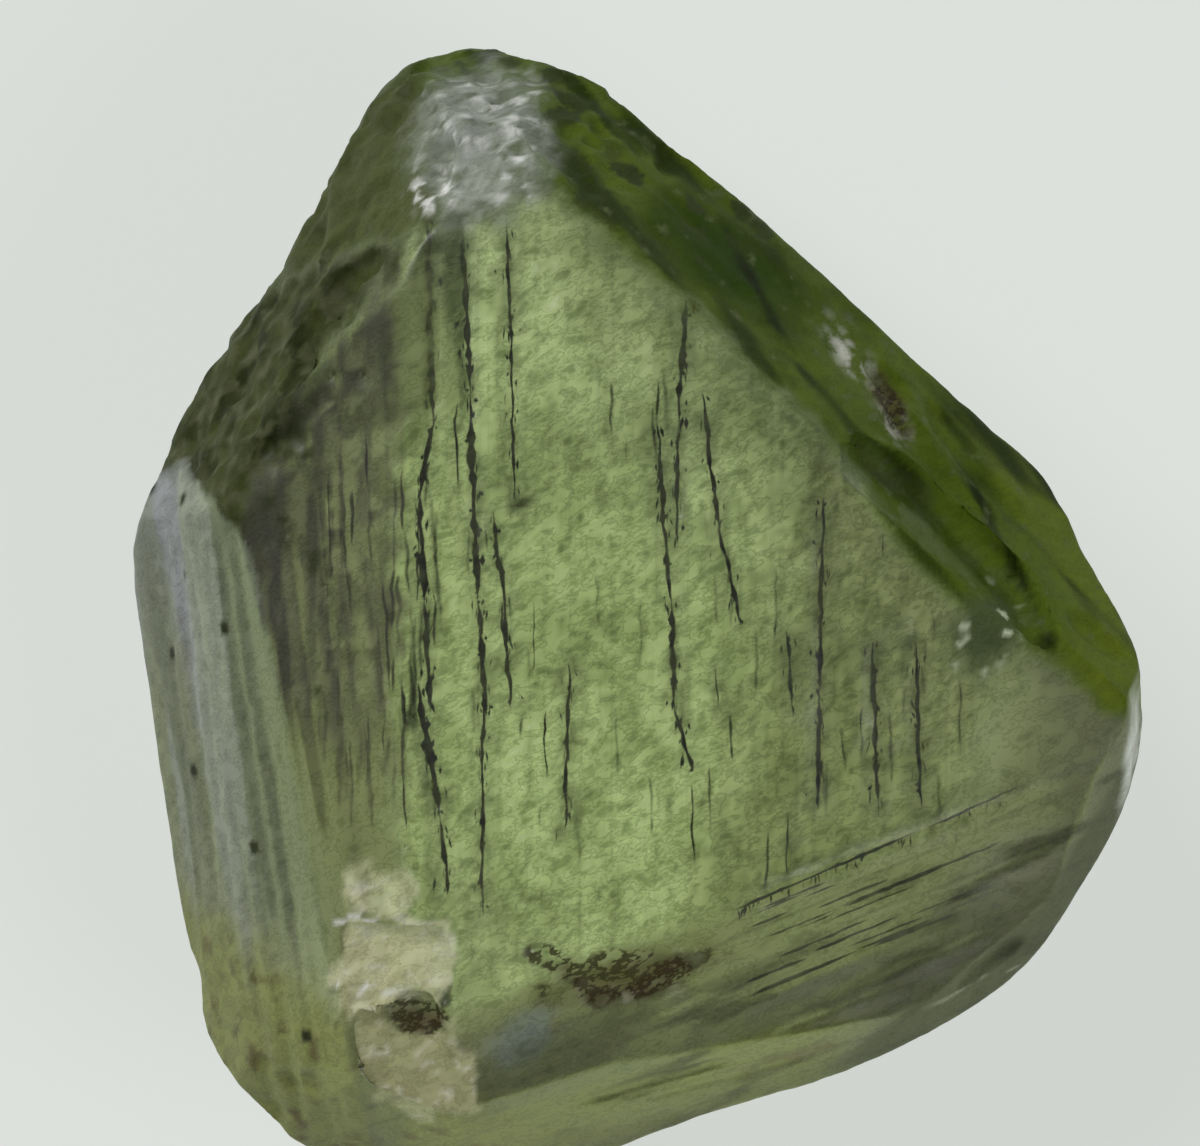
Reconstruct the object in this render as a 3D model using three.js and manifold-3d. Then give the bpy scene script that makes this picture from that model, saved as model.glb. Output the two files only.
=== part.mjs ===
// A peridot crystal: one loose, weathered crystal of gem olivine, lying on its flat back face.
// Millimetres, +Z up. +X is the crystal's right and +Y runs along its length to the rounded tip.
// The origin is on the surface that it lies on, under the middle of its box.
import * as THREE from "three";
import { mergeVertices, toCreasedNormals } from "three/addons/utils/BufferGeometryUtils.js";
import Module from "manifold-3d";

const wasm = await Module();
wasm.setup();

// Driving dimensions
const THICKNESS = 10.0; // from the flat back face to the highest front face
const GIRDLE = 4.5; // height of the widest section
const STRIATION = 0.26; // width of the growth lines on the side faces
const TUBE = 0.2; // width of a long etched growth tube on the front face
const PIT = 0.34; // usual width of an etch pit
const REACH = 60; // side of the blocks that cut the flat faces, larger than the crystal
const CREASE = 12; // degrees between two facets that are shaded as one
const SEED = 11;

// The widest section, seen from the front: a rounded tip, a long straight slope on the right,
// a blunt right shoulder and a lower end that runs to a point left of the middle.
const OUTLINE = [
  [-3.0, 11.35], [-2.0, 11.05], [-0.5, 10.45], [0.15, 9.85], [2.6, 7.85], [5.05, 5.6],
  [7.2, 3.7], [7.9, 3.1], [8.45, 2.25], [8.7, 1.65], [9.6, -0.1], [9.9, -1.3], [9.65, -3.25],
  [8.45, -5.6], [7.7, -6.7], [6.7, -7.5], [4.3, -8.75], [1.25, -9.7], [-1.4, -10.75],
  [-4.2, -11.35], [-5.4, -11.1], [-6.6, -10.25], [-8.3, -8.3], [-8.6, -7.65], [-8.5, -7.15],
  [-8.85, -6.3], [-9.3, -3.4], [-9.8, -0.15], [-9.9, 1.1], [-9.5, 2.6], [-8.4, 4.9],
  [-6.7, 7.3], [-6.35, 7.95], [-5.2, 10.05], [-4.4, 10.95],
];
const OUTLINE_STEPS = 110;

// A flat face passes through a point, faces a compass angle (0 is +X, 90 is +Y) and tilts from +Z.
const face = (x, y, z, facing, tilt) => {
  const [turn, lean] = [facing, tilt].map(THREE.MathUtils.degToRad);
  const normal = new THREE.Vector3(
    Math.cos(turn) * Math.sin(lean),
    Math.sin(turn) * Math.sin(lean),
    Math.cos(lean),
  );
  return { at: new THREE.Vector3(x, y, z), normal };
};

const TOP = THICKNESS;
const FRONT_FACES = {
  front: face(-1, -4.6, TOP, 80, 1),
  frontRight: face(2.3, 0, TOP - 0.1, -6, 8),
  frontLow: face(-1, -4.6, TOP, -80, 13),
  leftInner: face(-4.5, 0, TOP - 0.1, 182, 23),
  leftMiddle: face(-7.1, 0, TOP - 1.2, 191, 47),
  leftOuter: face(-8.27, 0, TOP - 2.45, 189, 62),
  upperLeft: face(-6.0, 5.1, TOP - 0.75, 144, 56),
  upperLeftTop: face(-4.95, 6.9, TOP - 0.2, 153, 65),
  tipFront: face(-3.0, 7.85, TOP - 0.15, 103, 37),
  tipRight: face(-1.5, 8.45, TOP - 0.3, 62, 57),
  tipLeft: face(-5.0, 9.0, TOP - 1.1, 138, 62),
  tipTop: face(-2.9, 9.7, TOP - 1.6, 92, 63),
  upperRightRim: face(2.9, 4.1, TOP - 0.15, 48, 28),
  upperRight: face(3.27, 4.34, TOP - 0.22, 49, 57),
  upperRightLow: face(4.16, 3.17, TOP - 0.36, 45.3, 57),
  right: face(9.45, -2, TOP - 1.3, -8, 77),
  lowerRight: face(4.5, -4.2, TOP - 0.45, -57, 29),
  lowerRightRim: face(6.0, -6.9, TOP - 2.05, -52, 60),
  rightLow: face(8.4, -4.5, TOP - 1.9, -30, 62),
  bottomStrip: face(1.3, -8.1, TOP - 1.15, -74, 62),
  bottom: face(-3.4, -9.6, TOP - 1.5, 250, 60),
  bottomLeft: face(-6.4, -8.2, TOP - 1.9, 222, 56),
};
const BACK_FACES = {
  backLeft: face(-9.7, 0, GIRDLE - 0.4, 187, 180 - 40),
  backUpperLeft: face(-7.5, 6.1, GIRDLE - 0.2, 148, 180 - 46),
  backTip: face(-3, 11.2, GIRDLE, 94, 180 - 54),
  backRoof: face(0.55, 0.5, 0, 47, 180 - 20),
  backUpperRight: face(5.1, 5.6, GIRDLE, 46, 180 - 50),
  backShoulder: face(9.0, 1.0, GIRDLE, 24, 180 - 56),
  backRight: face(9.8, -1.9, GIRDLE, -10, 180 - 60),
  backLowerRight: face(7.7, -6.7, GIRDLE - 0.2, -42, 180 - 50),
  backBottom: face(1.25, -9.7, GIRDLE - 0.2, -74, 180 - 51),
  backBottomLeft: face(-7.3, -9.6, GIRDLE - 0.2, 229, 180 - 50),
};

// The same sequence of numbers from 0 to 1 on every run.
const seeded = (seed) => () => {
  seed = (seed * 1664525 + 1013904223) % 4294967296;
  return seed / 4294967296;
};
const random = seeded(SEED);
const between = (low, high) => low + (high - low) * random();

// A closed three.js geometry, placed by a matrix, as a solid for joining and cutting.
function solid(geometry, matrix = new THREE.Matrix4()) {
  const bare = new THREE.BufferGeometry();
  bare.setAttribute("position", geometry.getAttribute("position").clone());
  if (geometry.index) bare.setIndex(geometry.index.clone());
  const merged = mergeVertices(bare.applyMatrix4(matrix), 1e-4);
  const corners = [];
  const index = merged.index.array;
  for (let i = 0; i < index.length; i += 3) {
    const [a, b, c] = index.subarray(i, i + 3);
    if (a !== b && b !== c && c !== a) corners.push(a, b, c);
  }
  return new wasm.Manifold(
    new wasm.Mesh({
      numProp: 3,
      vertProperties: new Float32Array(merged.getAttribute("position").array),
      triVerts: new Uint32Array(corners),
    }),
  );
}

// The matrix that sets a shape's Z along the normal and its Y along a direction, at a point.
function placed(point, along, normal, size = [1, 1, 1]) {
  const z = normal.clone().normalize();
  const x = new THREE.Vector3().crossVectors(along, z).normalize();
  const y = new THREE.Vector3().crossVectors(z, x);
  return new THREE.Matrix4()
    .makeBasis(x, y, z)
    .setPosition(point)
    .scale(new THREE.Vector3(...size));
}

// The point of a flat face above or below a place in plan.
function onFace({ at, normal }, x, y) {
  const drop = ((x - at.x) * normal.x + (y - at.y) * normal.y) / normal.z;
  return new THREE.Vector3(x, y, at.z - drop);
}

// The block that lies outside a flat face.
const block = new THREE.BoxGeometry(REACH, REACH, REACH);
function outside({ at, normal }) {
  const along = Math.abs(normal.y) > 0.9 ? new THREE.Vector3(1, 0, 0) : new THREE.Vector3(0, 1, 0);
  const centre = at.clone().addScaledVector(normal, REACH / 2);
  return solid(block, placed(centre, along, normal));
}

// The full-height block inside the crystal's outline.
function outlineBlock() {
  const knots = OUTLINE.map(([x, y]) => new THREE.Vector3(x, y, 0)).reverse();
  const curve = new THREE.CatmullRomCurve3(knots, true, "centripetal");
  const shape = new THREE.Shape(curve.getSpacedPoints(OUTLINE_STEPS).slice(0, -1));
  return solid(new THREE.ExtrudeGeometry(shape, { depth: THICKNESS + 1, bevelEnabled: false }));
}

// A slender cutter with pointed ends, one long, one across and one deep, with flat flanks.
const END = 0.12;
const sliver = new THREE.LatheGeometry(
  [
    [0, -0.5],
    [0.5, -0.5 + END],
    [0.5, 0.5 - END],
    [0, 0.5],
  ].map(([r, y]) => new THREE.Vector2(r, y)),
  4,
);

// A groove between two places of a face, in plan.
function groove(on, [x0, y0], [x1, y1], width, depth) {
  const start = onFace(on, x0, y0);
  const end = onFace(on, x1, y1);
  const along = end.clone().sub(start);
  const middle = start.clone().add(end).multiplyScalar(0.5);
  return solid(sliver, placed(middle, along, on.normal, [width, along.length(), 2 * depth]));
}

// An etch pit: a small faceted hollow, turned at random, sunk into a face.
const stone = new THREE.IcosahedronGeometry(0.5, 0);
function pit(on, x, y, width, depth, stretch = 1) {
  const turn = between(0, 2 * Math.PI);
  const along = new THREE.Vector3(Math.cos(turn), Math.sin(turn), between(-0.3, 0.3));
  return solid(stone, placed(onFace(on, x, y), along, on.normal, [width, width * stretch, 2 * depth]));
}

// A flat-bottomed ledge cut into a face: its middle in plan, its bearing, length, width and depth.
// It leans about its length, so that one side of it is a step and the other side fades out.
function ledge(on, x, y, bearing, length, width, depth, lean = 0) {
  const turn = THREE.MathUtils.degToRad(bearing);
  const along = onFace(on, x + Math.cos(turn), y + Math.sin(turn)).sub(onFace(on, x, y));
  const normal = on.normal.clone().applyAxisAngle(along.clone().normalize(), lean);
  return solid(scale, placed(onFace(on, x, y), along, normal, [width, length, 2 * depth]));
}
const scale = new THREE.CylinderGeometry(0.5, 0.5, 1, 6).rotateX(Math.PI / 2);

// A flat step: a block whose foot stands on a plane and which takes away all that lies above it.
const brick = new THREE.BoxGeometry(1, 1, 1);
function step(on, x, y, bearing, length, width, height = 1.4) {
  const turn = THREE.MathUtils.degToRad(bearing);
  const along = onFace(on, x + Math.cos(turn), y + Math.sin(turn)).sub(onFace(on, x, y));
  const centre = onFace(on, x, y).addScaledVector(on.normal, height / 2);
  return solid(brick, placed(centre, along, on.normal, [width, length, height]));
}

// The growth lines of the left side faces, parallel to the long edge and a little uneven.
function leftStriations() {
  const cuts = [];
  const rows = [
    { on: FRONT_FACES.leftOuter, top: [-9.3, 2.2], bottom: [-8.35, -6.4], step: 0.3, count: 5 },
    { on: FRONT_FACES.leftMiddle, top: [-8.1, 1.9], bottom: [-6.75, -6.2], step: 0.34, count: 4 },
    { on: FRONT_FACES.leftInner, top: [-6.7, 2.6], bottom: [-5.75, -4.4], step: 0.52, count: 4 },
  ];
  for (const { on, top, bottom, step, count } of rows) {
    for (let i = 0; i < count; i += 1) {
      const x = step * i;
      const start = [top[0] + x, top[1] + between(-0.5, 0.5)];
      const end = [bottom[0] + x, bottom[1] + between(-1.2, 1.2)];
      cuts.push(groove(on, start, end, STRIATION * between(0.7, 1.2), STRIATION * 0.4));
    }
  }
  return cuts;
}

// The long dark growth tubes of the front face, open as narrow grooves: top, bottom and width.
function growthTubes() {
  const { front, frontRight, frontLow } = FRONT_FACES;
  const tubes = [
    [front, [-4.5, 7.3], [-4.45, 6.1], 1.0],
    [front, [-3.88, 7.5], [-3.78, 3.7], 1.1],
    [front, [-4.25, 2.4], [-3.9, -1.2], 0.8],
    [front, [-4.15, -1.2], [-3.65, -3.8], 1.0],
    [front, [-3.25, 7.3], [-3.08, 3.5], 1.1],
    [front, [-3.08, 3.6], [-2.92, 0.2], 1.1],
    [front, [-2.38, 7.2], [-2.27, 3.9], 0.7],
    [front, [-2.65, 2.1], [-2.37, -0.6], 0.7],
    [front, [-2.9, -1.3], [-2.86, -4.4], 0.6],
    [front, [-1.2, -0.6], [-1.28, -3.9], 0.6],
    [front, [0.98, 6.0], [0.8, 1.4], 0.9],
    [front, [0.43, 3.7], [0.7, 0.5], 0.7],
    [front, [0.7, 1.2], [1.1, -2.7], 1.0],
    [front, [1.3, 4.1], [1.95, 0.2], 0.6],
    [frontRight, [3.57, 2.2], [3.47, -3.3], 0.8],
    [frontRight, [4.5, -0.3], [4.6, -3.4], 1.0],
    [frontRight, [5.33, 0.4], [5.43, -3.2], 0.7],
    [frontLow, [-3.6, -5.0], [-3.5, -6.0], 0.7],
  ];
  return tubes.map(([on, top, bottom, size]) => groove(on, top, bottom, TUBE * size, TUBE * size * 0.7));
}

// The slanting growth lines of the lower right face.
function lowerRightStriations() {
  const on = FRONT_FACES.lowerRight;
  const lines = [
    [[1.95, -5.55], [7.0, -3.55], 0.8],
    [[2.1, -7.4], [4.9, -6.2], 1.1],
    [[3.5, -7.4], [7.3, -5.85], 1.1],
    [[2.6, -8.0], [5.4, -6.95], 1.2],
    [[4.6, -7.9], [6.3, -7.2], 1.2],
    [[6.3, -5.1], [8.3, -4.35], 0.9],
    [[-0.9, -7.6], [1.3, -6.7], 0.8],
  ];
  return lines.map(([start, end, size]) => groove(on, start, end, STRIATION * size, STRIATION * 0.35));
}

// The bands that run along the upper right slope, and the shallow steps between them.
function upperRightLedges() {
  const { upperRight, upperRightLow } = FRONT_FACES;
  return [
    ledge(upperRight, 1.6, 8.3, -41, 4.2, 0.8, 0.1, -0.22),
    ledge(upperRight, 3.6, 6.4, -40, 3.6, 0.7, 0.12, 0.25),
    ledge(upperRight, 2.6, 6.4, -41, 3.0, 0.5, 0.1, -0.3),
    ledge(upperRightLow, 6.6, 3.2, -52, 3.2, 0.9, 0.12, 0.28),
    ledge(upperRightLow, 5.6, 3.2, -50, 2.6, 0.7, 0.12, -0.3),
    ledge(upperRightLow, 7.2, 1.0, -50, 2.4, 0.6, 0.12, 0.3),
    ledge(upperRightLow, 6.2, 1.7, -45, 5.6, 2.3, 0.42, -0.16),
    ledge(upperRightLow, 5.2, 2.4, -41, 3.2, 1.5, 0.36, -0.1),
    ledge(upperRightLow, 8.9, -0.2, -38, 1.7, 0.5, 0.12, 0.3),
    groove(upperRight, [0.4, 8.5], [3.1, 6.1], 0.34, 0.16),
    groove(upperRight, [2.4, 6.0], [4.3, 4.3], 0.3, 0.16),
    groove(upperRightLow, [5.0, 4.2], [6.9, 1.9], 0.34, 0.18),
    groove(upperRightLow, [5.0, 2.9], [6.4, 1.1], 0.3, 0.16),
    groove(upperRightLow, [6.3, 1.6], [7.4, 0.4], 0.3, 0.16),
    pit(upperRight, 4.35, 5.35, 0.75, 0.22, 1.6),
    pit(upperRightLow, 4.95, 4.7, 0.8, 0.3, 1.8),
    pit(upperRightLow, 5.3, 3.9, 0.6, 0.3, 2.0),
    pit(upperRight, 3.9, 5.9, 0.5, 0.2),
    pit(upperRightLow, 6.45, 0.85, 0.8, 0.26),
    pit(upperRightLow, 7.0, 0.45, 0.7, 0.5),
    pit(FRONT_FACES.upperRightRim, 3.9, 3.6, 0.5, 0.16),
  ];
}

// The uneven steps of the upper left slope.
function upperLeftLedges() {
  const cuts = [];
  const { upperLeft, upperLeftTop, leftInner } = FRONT_FACES;
  const rows = [
    { on: upperLeft, from: [-5.2, 6.6], to: [-7.6, 4.0], bearing: 50, count: 9 },
    { on: upperLeft, from: [-6.0, 7.2], to: [-7.4, 5.2], bearing: 58, count: 5 },
    { on: upperLeftTop, from: [-5.0, 8.2], to: [-5.3, 6.9], bearing: 80, count: 4 },
    { on: upperLeft, from: [-7.6, 3.5], to: [-8.9, 3.3], bearing: 24, count: 4 },
  ];
  for (const { on, from, to, bearing, count } of rows) {
    for (let i = 0; i < count; i += 1) {
      const share = i / (count - 1);
      const x = THREE.MathUtils.lerp(from[0], to[0], share) + between(-0.2, 0.2);
      const y = THREE.MathUtils.lerp(from[1], to[1], share) + between(-0.2, 0.2);
      const turn = bearing + between(-18, 18);
      const lean = between(-0.35, 0.35);
      cuts.push(ledge(on, x, y, turn, between(0.9, 2.0), between(0.5, 1.0), between(0.12, 0.22), lean));
    }
  }
  cuts.push(ledge(leftInner, -6.3, 3.9, 44, 1.9, 0.6, 0.05, 0.3));
  cuts.push(ledge(leftInner, -6.9, 2.9, 30, 1.2, 0.5, 0.05, -0.3));
  for (let i = 0; i < 14; i += 1) {
    const on = i % 2 ? upperLeft : leftInner;
    const x = between(-7.0, -5.1);
    cuts.push(pit(on, x, x + 10.6 + between(-0.9, 0.9), between(0.25, 0.5), 0.14));
  }
  return cuts;
}

// The frosted tip: many shallow pits, close together.
function tipPits() {
  const cuts = [];
  const { tipFront, tipTop, tipLeft, tipRight } = FRONT_FACES;
  const patches = [
    { on: tipFront, x: [-4.7, -1.4], y: [7.9, 9.6], count: 34 },
    { on: tipTop, x: [-4.1, -1.8], y: [9.8, 10.9], count: 12 },
    { on: tipLeft, x: [-5.6, -5.1], y: [8.4, 9.7], count: 6 },
    { on: tipRight, x: [-1.3, -0.2], y: [8.3, 10.0], count: 9 },
  ];
  for (const { on, x, y, count } of patches) {
    for (let i = 0; i < count; i += 1) {
      cuts.push(pit(on, between(...x), between(...y), PIT * between(0.7, 1.5), PIT * between(0.25, 0.5)));
    }
  }
  return cuts;
}

// The pale stepped cleavage chip at the lower left, and the small flakes above it.
function chip() {
  const shelf = face(-4.3, -5.3, TOP - 0.18, 200, 20);
  const upper = face(-3.5, -6.5, TOP - 0.45, 212, 16);
  const lower = face(-4.2, -8.4, TOP - 1.08, 236, 20);
  return [
    step(upper, -4.6, -6.5, 92, 1.45, 2.25),
    step(lower, -4.2, -8.4, 108, 2.5, 1.65),
    step(shelf, -4.75, -5.65, 86, 0.55, 1.6),
    step(shelf, -4.4, -5.2, 74, 0.45, 1.1),
    pit(FRONT_FACES.leftInner, -6.0, -6.3, 0.6, 0.3, 1.4),
    pit(FRONT_FACES.leftInner, -5.9, -7.0, 0.5, 0.3, 1.2),
    pit(FRONT_FACES.front, -4.55, -4.8, 0.32, 0.22),
    pit(lower, -4.1, -7.4, 0.8, 0.4, 1.2),
  ];
}

// The ragged iron-stained hollow low on the front face.
function stainedHollow() {
  const on = FRONT_FACES.frontLow;
  const cuts = [groove(on, [-1.95, -6.35], [-0.6, -6.85], 0.24, 0.16)];
  for (let i = 0; i < 9; i += 1) {
    const share = i / 8;
    const x = -0.7 + 1.9 * share;
    const y = -6.95 + 0.65 * share + between(-0.18, 0.18);
    cuts.push(pit(on, x, y, between(0.3, 0.6), between(0.14, 0.28), 1.3));
  }
  cuts.push(pit(on, -1.8, -6.2, 0.4, 0.16, 1.6));
  return cuts;
}

// Small pits scattered over the left side faces and the bottom left.
function sidePits() {
  const cuts = [];
  const { leftOuter, leftMiddle, bottomLeft } = FRONT_FACES;
  for (let i = 0; i < 9; i += 1) {
    cuts.push(pit(leftOuter, between(-9.4, -8.7), between(-1.5, 2.6), between(0.18, 0.32), 0.12, 1.7));
  }
  for (let i = 0; i < 8; i += 1) {
    cuts.push(pit(leftMiddle, between(-7.9, -6.9), between(-4.5, 1.2), between(0.16, 0.28), 0.1));
  }
  for (let i = 0; i < 8; i += 1) {
    cuts.push(pit(bottomLeft, between(-7.9, -6.2), between(-9.8, -8.4), between(0.3, 0.6), 0.16));
  }
  return cuts;
}

// Nicks along the widest section and flakes on the right corner, where a loose crystal wears.
function edgeNicks() {
  const cuts = [];
  const knots = OUTLINE.length;
  for (let i = 0; i < knots; i += 1) {
    const [x, y] = OUTLINE[i];
    const [nextX, nextY] = OUTLINE[(i + 1) % knots];
    const share = random();
    const centre = new THREE.Vector3(
      THREE.MathUtils.lerp(x, nextX, share) * 1.012,
      THREE.MathUtils.lerp(y, nextY, share) * 1.012,
      GIRDLE + between(-0.3, 0.9),
    );
    const along = new THREE.Vector3(nextX - x, nextY - y, between(-0.6, 0.6));
    const outward = new THREE.Vector3(x, y, 0);
    const size = [between(0.4, 0.8), between(0.5, 1.3), between(0.3, 0.55)];
    cuts.push(solid(stone, placed(centre, along, outward, size)));
  }
  return cuts;
}

// Growth lines and steps on the side faces below and around the widest section.
function sideRelief() {
  const { backLeft, backTip, backUpperLeft, backRoof, backShoulder } = BACK_FACES;
  const { backRight, backLowerRight, backBottom, backBottomLeft } = BACK_FACES;
  const { bottomStrip, lowerRightRim } = FRONT_FACES;
  const cuts = [
    ledge(backUpperLeft, -6.0, 5.6, 58, 3.4, 0.9, 0.1, 0.2),
    ledge(backUpperLeft, -5.0, 6.4, 52, 2.0, 0.7, 0.1, -0.25),
    ledge(backTip, -2.9, 9.2, 4, 2.6, 0.8, 0.1, 0.25),
    ledge(backShoulder, 7.6, 0.8, -64, 2.2, 0.7, 0.1, 0.25),
    ledge(backRight, 8.5, -2.4, 80, 2.4, 0.8, 0.1, -0.25),
    ledge(backLowerRight, 5.6, -6.4, 42, 3.2, 0.7, 0.1, 0.25),
    ledge(backBottom, -0.2, -8.4, 16, 3.4, 0.8, 0.1, -0.22),
    ledge(backBottomLeft, -6.2, -7.6, -42, 2.6, 0.8, 0.12, 0.25),
    ledge(bottomStrip, 0.4, -8.9, 16, 3.6, 0.5, 0.08, 0.25),
    ledge(lowerRightRim, 6.9, -6.6, 38, 1.8, 0.6, 0.1, -0.25),
  ];
  for (let i = 0; i < 7; i += 1) {
    const x = -8.9 + 0.62 * i;
    cuts.push(groove(backLeft, [x, between(2, 4)], [x + 0.6, between(-5, -3)], STRIATION, 0.1));
  }
  for (let i = 0; i < 4; i += 1) {
    const shift = 0.55 * i;
    cuts.push(groove(backRoof, [1.4 + shift, 5.4 + shift], [5.2 + shift, 1.8 + shift], 0.3, 0.12));
    cuts.push(groove(bottomStrip, [-1.6 + shift, -9.3], [2.0 + shift, -8.4], 0.22, 0.08));
  }
  return cuts;
}

// Shallow pits and steps on the flat back, which leave most of it flat to lie on.
function backRelief() {
  const cuts = [];
  const flat = face(0, 0, 0, 0, 180);
  for (let i = 0; i < 6; i += 1) {
    const y = -5.4 + 0.5 * i;
    cuts.push(groove(flat, [1.2 + 0.2 * i, y - 0.4], [3.2, y + 0.5], 0.26, 0.1));
  }
  for (let i = 0; i < 9; i += 1) {
    cuts.push(pit(flat, between(-3.6, -1.4), between(2.4, 5.8), between(0.3, 0.7), 0.14));
  }
  cuts.push(ledge(flat, -2.2, 5.2, 60, 2.2, 1.1, 0.1, 0.1));
  cuts.push(ledge(flat, -2.2, -5.2, 20, 2.6, 1.3, 0.1, 0.1));
  return cuts;
}

function crystal() {
  let body = outlineBlock();
  for (const side of [...Object.values(FRONT_FACES), ...Object.values(BACK_FACES)]) {
    body = body.subtract(outside(side));
  }
  const cuts = [
    ...leftStriations(),
    ...growthTubes(),
    ...lowerRightStriations(),
    ...upperRightLedges(),
    ...upperLeftLedges(),
    ...tipPits(),
    ...chip(),
    ...stainedHollow(),
    ...sidePits(),
    ...edgeNicks(),
    ...sideRelief(),
    ...backRelief(),
  ];
  for (const cut of cuts) {
    body = body.subtract(cut);
  }
  // Crumbs that two cuts leave between them fall away.
  const pieces = body.decompose().sort((a, b) => b.volume() - a.volume());
  return pieces[0];
}

// A solid's surface as a three.js geometry, moved so that it lies on z = 0, centred on the origin.
function surface(made) {
  const mesh = made.getMesh();
  const geometry = new THREE.BufferGeometry();
  geometry.setAttribute("position", new THREE.BufferAttribute(mesh.vertProperties, 3));
  geometry.setIndex(new THREE.BufferAttribute(mesh.triVerts, 1));
  geometry.computeBoundingBox();
  const { min, max } = geometry.boundingBox;
  geometry.translate(-(min.x + max.x) / 2, -(min.y + max.y) / 2, -min.z);
  return toCreasedNormals(geometry, THREE.MathUtils.degToRad(CREASE));
}

const olivine = new THREE.MeshStandardMaterial({ color: 0x8aa04e, roughness: 0.22, metalness: 0 });
const peridot = new THREE.Mesh(surface(crystal()), olivine);
peridot.name = "peridot_crystal";

const part = new THREE.Group();
part.add(peridot);
export default part;
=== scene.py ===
import math
import random
from collections import namedtuple
from functools import cache, partial

import bmesh
import bpy
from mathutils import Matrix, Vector


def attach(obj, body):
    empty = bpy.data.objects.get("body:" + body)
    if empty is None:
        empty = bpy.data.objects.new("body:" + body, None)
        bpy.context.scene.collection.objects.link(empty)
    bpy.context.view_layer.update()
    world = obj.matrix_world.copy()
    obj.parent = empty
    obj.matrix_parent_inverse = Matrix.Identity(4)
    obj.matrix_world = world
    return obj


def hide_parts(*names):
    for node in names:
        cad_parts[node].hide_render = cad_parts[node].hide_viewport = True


MM = 0.001
SEED = 11
SKIN_STEP = 0.12 * MM  # the crystal's mesh spacing, fine enough for its worn edges and small marks
PERIDOT_IOR = 1.67

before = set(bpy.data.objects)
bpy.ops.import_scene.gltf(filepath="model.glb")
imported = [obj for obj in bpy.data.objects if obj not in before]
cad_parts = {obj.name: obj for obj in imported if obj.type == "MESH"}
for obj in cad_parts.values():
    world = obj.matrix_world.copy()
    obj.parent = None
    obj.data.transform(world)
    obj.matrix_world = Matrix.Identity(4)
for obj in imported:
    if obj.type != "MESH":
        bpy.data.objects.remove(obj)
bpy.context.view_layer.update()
scene = bpy.context.scene


# Node trees, written as expressions
class Sock:
    """One output of a node. Arithmetic on it adds Math nodes to its tree."""

    def __init__(self, tree, socket):
        self.tree = tree
        self.socket = socket

    def out(self, name):
        return Sock(self.tree, self.socket.node.outputs[name])

    def _math(self, operation, *values, clamp=False):
        settings = {"operation": operation, "use_clamp": clamp}
        return self.tree.node("ShaderNodeMath", settings, dict(enumerate(values)))

    def __add__(self, other):
        return self._math("ADD", self, other)

    def __radd__(self, other):
        return self._math("ADD", other, self)

    def __sub__(self, other):
        return self._math("SUBTRACT", self, other)

    def __rsub__(self, other):
        return self._math("SUBTRACT", other, self)

    def __mul__(self, other):
        return self._math("MULTIPLY", self, other)

    def __rmul__(self, other):
        return self._math("MULTIPLY", other, self)

    def __truediv__(self, other):
        return self._math("DIVIDE", self, other)

    def __rtruediv__(self, other):
        return self._math("DIVIDE", other, self)

    def absolute(self):
        return self._math("ABSOLUTE", self)

    def clamped(self):
        return self._math("ADD", self, 0.0, clamp=True)

    def least(self, other):
        return self._math("MINIMUM", self, other)

    def most(self, other):
        return self._math("MAXIMUM", self, other)

    def rise(self, low, high):
        """0 below low, 1 above high, smooth between them; low may be the larger one."""
        return self.tree.node(
            "ShaderNodeMapRange",
            {"interpolation_type": "SMOOTHSTEP"},
            {"Value": self, "From Min": low, "From Max": high},
            "Result",
        )


class Tree:
    """A node tree that is written by one method."""

    def __init__(self, tree):
        self.tree = tree

    def node(self, kind, settings=None, inputs=None, output=0):
        made = self.tree.nodes.new(kind)
        for name, value in (settings or {}).items():
            setattr(made, name, value)
        for name, value in (inputs or {}).items():
            socket = made.inputs[name]
            if isinstance(value, Sock):
                self.tree.links.new(value.socket, socket)
            else:
                socket.default_value = value
        return Sock(self, made.outputs[output]) if made.outputs else made

    def vector(self, operation, *values, output=0):
        return self.node("ShaderNodeVectorMath", {"operation": operation}, dict(enumerate(values)), output)

    def xyz(self, vector):
        split = self.node("ShaderNodeSeparateXYZ", {}, {0: vector})
        return split, split.out("Y"), split.out("Z")

    def join(self, x, y, z):
        return self.node("ShaderNodeCombineXYZ", {}, {0: x, 1: y, 2: z})

    def noise(self, place, scale, detail=2.0, roughness=0.5):
        inputs = {"Vector": place, "Scale": scale, "Detail": detail, "Roughness": roughness}
        return self.node("ShaderNodeTexNoise", {}, inputs)

    def cells(self, place, scale, feature="F1"):
        inputs = {"Vector": place, "Scale": scale}
        return self.node("ShaderNodeTexVoronoi", {"feature": feature}, inputs, "Distance")

    def mix(self, share, low, high, blend="MIX"):
        settings = {"data_type": "RGBA", "blend_type": blend}
        return self.node("ShaderNodeMix", settings, {0: share, 6: low, 7: high}, 2)


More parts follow.
